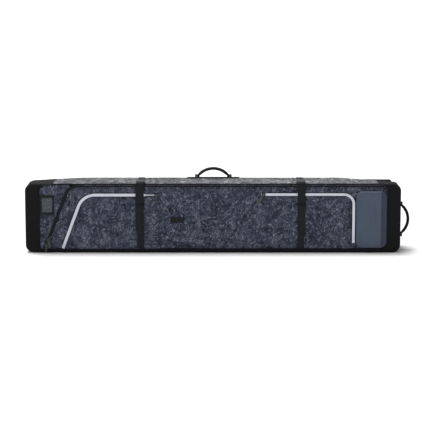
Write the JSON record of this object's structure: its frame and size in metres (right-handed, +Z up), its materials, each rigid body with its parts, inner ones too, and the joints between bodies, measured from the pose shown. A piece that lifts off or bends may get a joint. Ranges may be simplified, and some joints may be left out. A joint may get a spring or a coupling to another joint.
{
  "type": "wheeled snowboard bag",
  "caption": "Long padded travel bag for snowboards, with a zipped front lid, straps, pockets, two carry handles and wheels at one end.",
  "frame": {"origin": "middle of the flat bottom face that the bag stands on", "axes": "+X along the bag from the wheel end to the pull handle, -Y towards the front lid, +Z up"},
  "size_m": [1.8715, 0.2387, 0.3935],
  "materials": {
    "camo_cloth": "printed woven polyester",
    "camo_top_cloth": "printed woven polyester",
    "black_cloth": "coated woven polyester",
    "grey_cloth": "coated woven polyester",
    "padding": "quilted lining over foam",
    "webbing": "woven webbing",
    "silver_tape": "woven tape with a metallic thread",
    "black_zip": "zip tape and coil",
    "black_plastic": "moulded, lightly textured",
    "pull_plastic": "moulded rubber-like",
    "dark_metal": "dark nickel",
    "steel": "turned",
    "tyre_rubber": "worn matt",
    "clear_sheet": "flexible clear sheet",
    "card": "blank card",
    "patch": "blank moulded patch"
  },
  "bodies": {
    "bag_body": {"back_padding": "padding", "back_panel": "black_cloth", "bottom_gusset": "black_cloth", "buckle_left_socket": "black_plastic", "buckle_right_socket": "black_plastic", "end_handle_base": "black_cloth", "end_stiffener_board": "black_plastic", "front_left_panel": "camo_cloth", "id_card": "card", "id_window_frame": "webbing", "id_window_pane": "clear_sheet", "inner_strap_left": "webbing", "inner_strap_right": "webbing", "left_end_cap": "black_cloth", "main_zip_body_tape": "black_zip", "right_end_cap": "black_cloth", "strap_left_top": "webbing", "strap_right_top": "webbing", "top_gusset": "camo_top_cloth", "top_handle_base": "black_cloth", "top_piping": "black_cloth", "wheel_axle_lower": "steel", "wheel_axle_upper": "steel", "wheel_housing_lower": "black_plastic", "wheel_housing_upper": "black_plastic", "zip_garage": "camo_cloth"},
    "lid": {"lid_panel": "camo_cloth", "lid_padding": "padding", "main_zip_lid_tape": "black_zip", "pocket_1_panel": "camo_cloth", "pocket_1_zip": "silver_tape", "pocket_2_panel": "camo_cloth", "pocket_2_zip": "silver_tape", "end_pocket_panel": "grey_cloth", "label_patch": "patch", "strap_left_front": "webbing", "strap_left_tail": "webbing", "strap_left_keeper": "black_plastic", "strap_right_front": "webbing", "strap_right_tail": "webbing", "strap_right_keeper": "black_plastic", "buckle_left_plug": "black_plastic", "buckle_right_plug": "black_plastic"},
    "main_slider_lower": {"main_lower_slider": "dark_metal"},
    "main_slider_upper": {"main_upper_slider": "dark_metal"},
    "pocket_slider_1": {"pocket_1_slider": "dark_metal"},
    "pocket_slider_2": {"pocket_2_slider": "dark_metal"},
    "main_pull_lower": {"main_lower_pull": "pull_plastic"},
    "main_pull_upper": {"main_upper_pull": "pull_plastic"},
    "pocket_pull_1": {"pocket_1_pull": "pull_plastic"},
    "pocket_pull_2": {"pocket_2_pull": "pull_plastic"},
    "top_handle": {"top_handle": "webbing"},
    "end_handle": {"end_handle": "webbing"},
    "wheel_lower": {"wheel_tyre_lower": "tyre_rubber", "wheel_hub_lower": "black_plastic"},
    "wheel_upper": {"wheel_tyre_upper": "tyre_rubber", "wheel_hub_upper": "black_plastic"}
  },
  "joints": [
    {"name": "lid_hinge", "type": "hinge", "parent": "bag_body", "child": "lid", "pos_m": [0, -0.1003, 0.0188], "axis": [1, 0, 0], "range_deg": [0, 85]},
    {"name": "wheel_lower_spin", "type": "hinge", "parent": "bag_body", "child": "wheel_lower", "pos_m": [-0.868, 0.088, 0.064], "axis": [0, 0, 1], "continuous": true},
    {"name": "wheel_upper_spin", "type": "hinge", "parent": "bag_body", "child": "wheel_upper", "pos_m": [-0.868, 0.088, 0.276], "axis": [0, 0, 1], "continuous": true},
    {"name": "top_handle_swing", "type": "hinge", "parent": "bag_body", "child": "top_handle", "pos_m": [0.0015, 0.082, 0.3504], "axis": [1, 0, 0], "range_deg": [-75, 75]},
    {"name": "end_handle_swing", "type": "hinge", "parent": "bag_body", "child": "end_handle", "pos_m": [0.9204, 0, 0.149], "axis": [0, 0, 1], "range_deg": [-75, 75]},
    {"name": "main_slider_upper_slide", "type": "slide", "parent": "bag_body", "child": "main_slider_upper", "axis": [-0.3665, 0, -0.9304], "range_m": [-0.235, 0]},
    {"name": "main_slider_lower_slide", "type": "slide", "parent": "bag_body", "child": "main_slider_lower", "axis": [0.3665, 0, 0.9304], "range_m": [-0.004, 0.006]},
    {"name": "pocket_slider_1_slide", "type": "slide", "parent": "lid", "child": "pocket_slider_1", "axis": [-1, 0, 0], "range_m": [0, 0.045]},
    {"name": "pocket_slider_2_slide", "type": "slide", "parent": "lid", "child": "pocket_slider_2", "axis": [1, 0, 0], "range_m": [0, 0.148]},
    {"name": "main_pull_lower_swing", "type": "hinge", "parent": "main_slider_lower", "child": "main_pull_lower", "pos_m": [-0.80906, -0.1099, 0.0385], "axis": [-1, 0, 0], "range_deg": [0, 140]},
    {"name": "main_pull_upper_swing", "type": "hinge", "parent": "main_slider_upper", "child": "main_pull_upper", "pos_m": [-0.79902, -0.1099, 0.064], "axis": [-1, 0, 0], "range_deg": [0, 140]},
    {"name": "pocket_pull_1_swing", "type": "hinge", "parent": "pocket_slider_1", "child": "pocket_pull_1", "pos_m": [-0.2735, -0.1119, 0.2842], "axis": [-1, 0, 0], "range_deg": [0, 140]},
    {"name": "pocket_pull_2_swing", "type": "hinge", "parent": "pocket_slider_2", "child": "pocket_pull_2", "pos_m": [0.244, -0.1119, 0.2867], "axis": [-1, 0, 0], "range_deg": [0, 140]}
  ]
}
